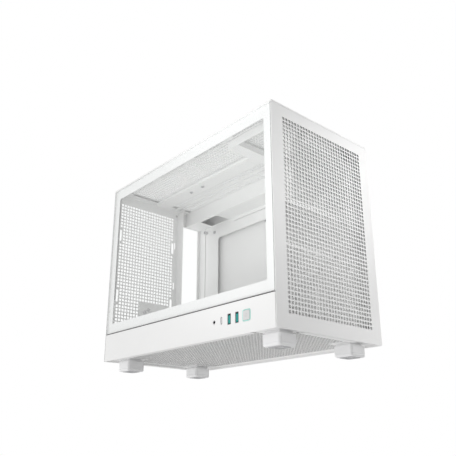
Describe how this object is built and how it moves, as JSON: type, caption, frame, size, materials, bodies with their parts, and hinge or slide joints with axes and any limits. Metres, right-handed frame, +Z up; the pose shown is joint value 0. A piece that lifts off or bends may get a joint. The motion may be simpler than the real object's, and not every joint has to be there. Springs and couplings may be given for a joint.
{
  "type": "desktop computer tower",
  "caption": "Compact white desktop computer tower with a glass side, perforated front and top panels, lower port strip and square feet.",
  "frame": {"origin": "on the floor under the middle of the tower, at the bottom of its feet", "axes": "+Z up, -Y towards the perforated front panel, -X towards the glass side, +Y towards the rear connectors"},
  "size_m": [0.1926, 0.371, 0.299],
  "materials": {
    "white_steel": "satin powder coat",
    "bare_steel": "satin",
    "black_plastic": "matt",
    "circuit_board": "satin",
    "teal_plastic": "satin",
    "light_guide": "frosted",
    "button_grey": "satin",
    "foot_plastic": "frosted",
    "rubber_pad": "matt",
    "white_plastic": "matt",
    "stud_grey": "matt",
    "glass": "clear",
    "printed_border": "gloss"
  },
  "bodies": {
    "chassis": {"bottom_plate": "white_steel", "left_skirt": "white_steel", "right_skirt": "white_steel", "rear_wall": "white_steel", "front_inner_frame": "white_steel", "top_frame": "white_steel", "top_center_brace": "white_steel", "brace_screws": "bare_steel", "side_beam": "white_steel", "motherboard_tray": "white_steel", "tray_screws": "bare_steel", "motherboard_standoffs": "bare_steel", "psu_cradle": "white_steel", "psu_stop_plate": "white_steel", "slot_cover_1": "white_steel", "slot_cover_2": "white_steel", "slot_cover_3": "white_steel", "slot_retainer": "white_steel", "slot_screws": "bare_steel", "ac_inlet": "black_plastic", "ac_inlet_pins": "bare_steel", "ac_inlet_screws": "bare_steel", "io_board": "circuit_board", "io_board_posts": "bare_steel", "io_board_screws": "bare_steel", "usb_a_shell_1": "bare_steel", "usb_a_shell_2": "bare_steel", "usb_a_tongue_1": "teal_plastic", "usb_a_tongue_2": "teal_plastic", "usb_c_shell": "bare_steel", "usb_c_tongue": "button_grey", "audio_jack": "black_plastic", "button_switch": "black_plastic", "button_light_ring": "light_guide", "foot_front_left": "foot_plastic", "foot_front_right": "foot_plastic", "foot_rear_left": "foot_plastic", "foot_rear_right": "foot_plastic", "foot_pads": "rubber_pad", "foot_screws": "bare_steel", "frame_rivets": "bare_steel", "glass_sockets": "white_plastic", "right_sockets": "white_plastic", "front_sockets": "white_plastic", "top_sockets": "white_plastic"},
    "glass_panel": {"glass_sheet": "glass", "glass_border": "printed_border", "glass_rails": "white_plastic", "glass_studs": "stud_grey"},
    "right_side_panel": {"right_panel": "white_steel", "right_studs": "stud_grey"},
    "front_panel": {"front_panel_mesh": "white_steel", "front_panel_frame": "white_steel", "front_studs": "stud_grey"},
    "top_panel": {"top_panel_mesh": "white_steel", "top_studs": "stud_grey"},
    "power_button": {"power_button": "button_grey"}
  },
  "joints": [
    {"name": "power_button_press", "type": "slide", "parent": "chassis", "child": "power_button", "axis": [1, 0, 0], "range_m": [0, 0.001], "stiffness_N_per_m": 900, "springref_m": -0.0006},
    {"name": "glass_panel_pull", "type": "slide", "parent": "chassis", "child": "glass_panel", "axis": [-1, 0, 0], "range_m": [0, 0.1]},
    {"name": "right_panel_pull", "type": "slide", "parent": "chassis", "child": "right_side_panel", "axis": [1, 0, 0], "range_m": [0, 0.1]},
    {"name": "front_panel_pull", "type": "slide", "parent": "chassis", "child": "front_panel", "axis": [0, -1, 0], "range_m": [0, 0.1]},
    {"name": "top_panel_lift", "type": "slide", "parent": "chassis", "child": "top_panel", "axis": [0, 0, 1], "range_m": [0, 0.1]}
  ]
}
